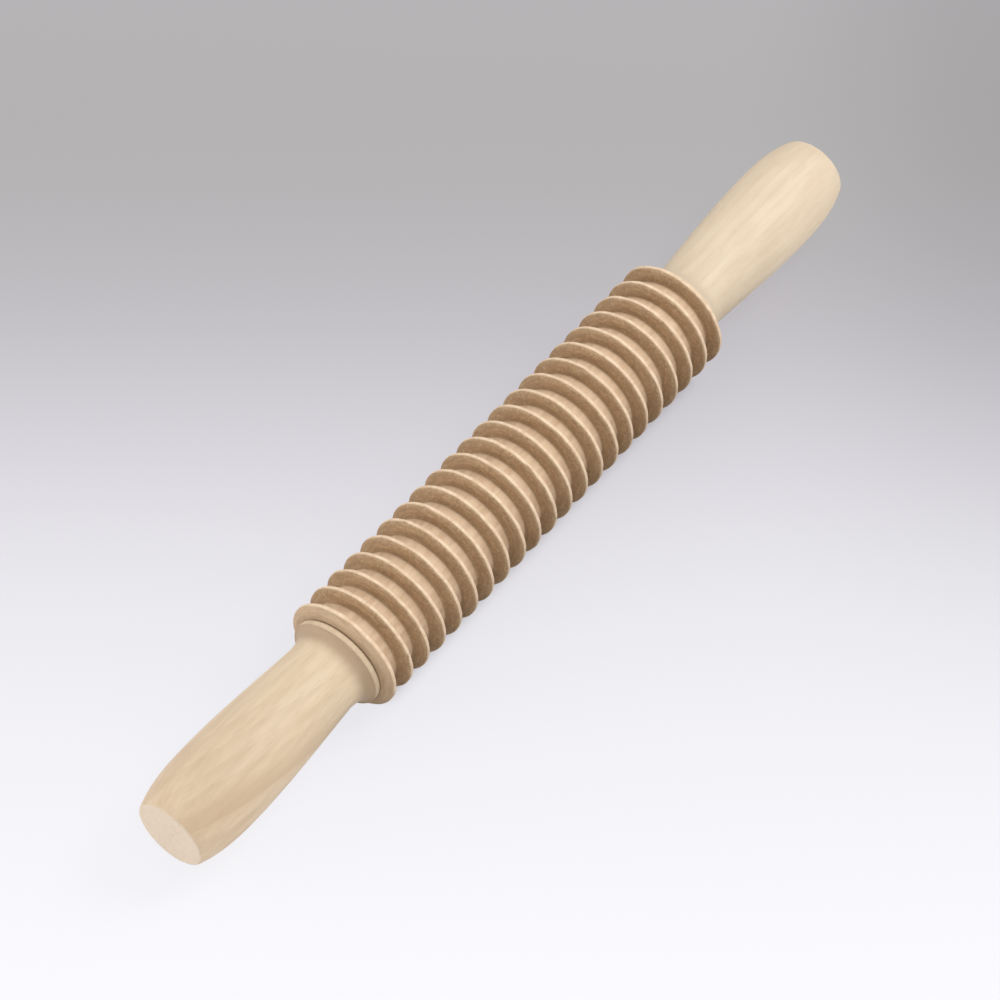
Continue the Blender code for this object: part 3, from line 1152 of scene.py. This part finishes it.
studioSettings = {
    "floorLevel": -barrelSettings["crestRadius"],
    "floorSize": 12.0,
    "bounce": (0.86, 0.86, 0.865),
    "paintedShadowBounce": (0.08, 0.08, 0.08),  # painted shadow in the bounce colour close under the barrel, where little light gets in
    "underLength": 0.075,
    "underReach": (0.035, 0.110),
    "pastEnds": 2.5,  # beyond the barrel's ends a distance counts more
    "sidewaysDirection": (0.609, -0.793, 0.0),
    "cornerPlace": (0.07, 0.17),
    "cornerShade": 0.15,
    "cornerReach": (-0.12, 0.12),
    "horizon": (0.8, 3.5),  # where the floor fades into the backdrop
    "awayDirection": (0.793, 0.609, 0.0),
    "nearPlace": -0.17,
    "farPlace": 0.23,
    "shades": [
        (0.0, (0.965, 0.965, 0.995)),
        (0.2, (0.900, 0.895, 0.940)),
        (0.4, (0.810, 0.800, 0.840)),
        (0.6, (0.550, 0.525, 0.570)),
        (0.8, (0.435, 0.430, 0.420)),
        (1.0, (0.480, 0.460, 0.480)),
    ],
    "shadowShare": 0.14,
    "skyStrength": (0.12, 0.68),  # at the horizon and overhead
    "skyReach": (0.0, 0.7),
    "skyShown": (0.62, 0.62, 0.635),
    "lamps": {  # place, width of the round lamp, watts
        "softKey": ((0.55, -0.42, 0.96), 0.60, 6.15),
        "sideSoft": ((-0.68, 0.84, 0.64), 0.80, 1.50),
        "endFill": ((-0.60, 0.50, 0.10), 0.30, 1.65),
        "rightFill": ((-0.66, -0.64, 0.33), 0.60, 1.70),
    },
    "contactReach": (0.0040, 0.0165),  # what shows between the ribs' tips is in full shadow
    # painted shadow: the floor's colour right under the barrel is darkened
    "contactPaintedShadow": (0.42, 0.40, 0.39),
}


def shownToEye(tree):
    path = addNode(tree, "ShaderNodeLightPath")
    seen = calc(tree, "ADD", path.outputs["Is Camera Ray"], path.outputs["Is Glossy Ray"])
    return calc(tree, "ADD", seen, path.outputs["Is Transmission Ray"], clamp=True)


def makeFloor(settings):
    material = bpy.data.materials.new("paleFloor")
    tree = emptyTree(material)
    output = addNode(tree, "ShaderNodeOutputMaterial")
    place = ownPlace(tree)
    away = vecCalc(tree, "DOT_PRODUCT", place, settings["awayDirection"])
    ends = {"Value": away, "From Min": settings["nearPlace"], "From Max": settings["farPlace"]}
    share = addNode(tree, "ShaderNodeMapRange", ends).outputs["Result"]
    ramp = addNode(tree, "ShaderNodeValToRGB", {"Fac": share})
    stops = ramp.color_ramp
    stops.interpolation = "B_SPLINE"
    while len(stops.elements) < len(settings["shades"]):
        stops.elements.new(0.5)
    for element, (position, colour) in zip(stops.elements, settings["shades"]):
        element.position = position
        element.color = (*colour, 1.0)
    distant = step(tree, vecCalc(tree, "LENGTH", place), *settings["horizon"])
    shown = blendColour(tree, distant, ramp.outputs["Color"], settings["skyShown"])
    sideways = vecCalc(tree, "DOT_PRODUCT", place, settings["sidewaysDirection"])
    corner = step(tree, sideways, *settings["cornerPlace"])
    corner = times(tree, corner, step(tree, away, *settings["cornerReach"]))
    cornerTone = calc(tree, "MULTIPLY_ADD", corner, -settings["cornerShade"], 1.0)
    shown = blendColour(tree, 1.0, shown, cornerTone, "MULTIPLY")

    # how far a spot lies from the line under the barrel
    split = addNode(tree, "ShaderNodeSeparateXYZ", {"Vector": place})
    beyond = calc(tree, "SUBTRACT", calc(tree, "ABSOLUTE", split.outputs["X"]), settings["underLength"])
    beyond = times(tree, calc(tree, "MAXIMUM", beyond, 0.0), settings["pastEnds"])
    near = addNode(tree, "ShaderNodeCombineXYZ", {"X": beyond, "Y": split.outputs["Y"]}).outputs[0]
    near = vecCalc(tree, "LENGTH", near)
    # painted shadow: the bounce colour darkens close under the barrel
    under = step(tree, near, *settings["underReach"])
    bounced = blendColour(tree, under, settings["paintedShadowBounce"], settings["bounce"])
    paper = addNode(tree, "ShaderNodeBsdfDiffuse", {"Color": bounced})
    # under the barrel the floor shows its real shadow, on a colour darkened with painted shadow
    clear = step(tree, near, *settings["contactReach"])
    contact = blendColour(tree, clear, settings["contactPaintedShadow"], shown)
    shadowed = addNode(tree, "ShaderNodeBsdfDiffuse", {"Color": contact})
    glow = addNode(tree, "ShaderNodeEmission", {"Color": shown, "Strength": 1.0})
    share = calc(tree, "MULTIPLY_ADD", clear, settings["shadowShare"] - 1.0, 1.0)
    seen = addNode(tree, "ShaderNodeMixShader", {0: share, 1: glow.outputs[0], 2: shadowed.outputs[0]})
    mix = {0: shownToEye(tree), 1: paper.outputs[0], 2: seen.outputs[0]}
    feed(tree, output.inputs["Surface"], addNode(tree, "ShaderNodeMixShader", mix).outputs[0])

    half = settings["floorSize"] / 2
    mesh = bpy.data.meshes.new("floorSheet")
    corners = [(-half, -half, 0), (half, -half, 0), (half, half, 0), (-half, half, 0)]
    mesh.from_pydata(corners, [], [(0, 1, 2, 3)])
    mesh.materials.append(material)
    floor = intoScene(bpy.data.objects.new("floorSheet", mesh))
    floor.location = (0.0, 0.0, settings["floorLevel"])
    return floor


def makeLight(settings):
    world = bpy.data.worlds.new("studioAir")
    tree = emptyTree(world)
    output = addNode(tree, "ShaderNodeOutputWorld")
    upward = alongAxis(tree, addNode(tree, "ShaderNodeTexCoord").outputs["Generated"], "Z")
    strength = between(tree, step(tree, upward, *settings["skyReach"]), settings["skyStrength"])
    light = addNode(tree, "ShaderNodeBackground", {"Color": (1.0, 1.0, 1.0), "Strength": strength})
    shown = addNode(tree, "ShaderNodeBackground", {"Color": settings["skyShown"], "Strength": 1.0})
    mix = {0: shownToEye(tree), 1: light.outputs[0], 2: shown.outputs[0]}
    feed(tree, output.inputs["Surface"], addNode(tree, "ShaderNodeMixShader", mix).outputs[0])
    bpy.context.scene.world = world

    for name, (place, size, power) in settings["lamps"].items():
        lampData = bpy.data.lights.new(name, "AREA")
        lampData.shape = "DISK"
        lampData.size = size
        lampData.energy = power
        aim(intoScene(bpy.data.objects.new(name, lampData)), place, (0.0, 0.0, 0.0))


makeFloor(studioSettings)
makeLight(studioSettings)
print("floor and light set")
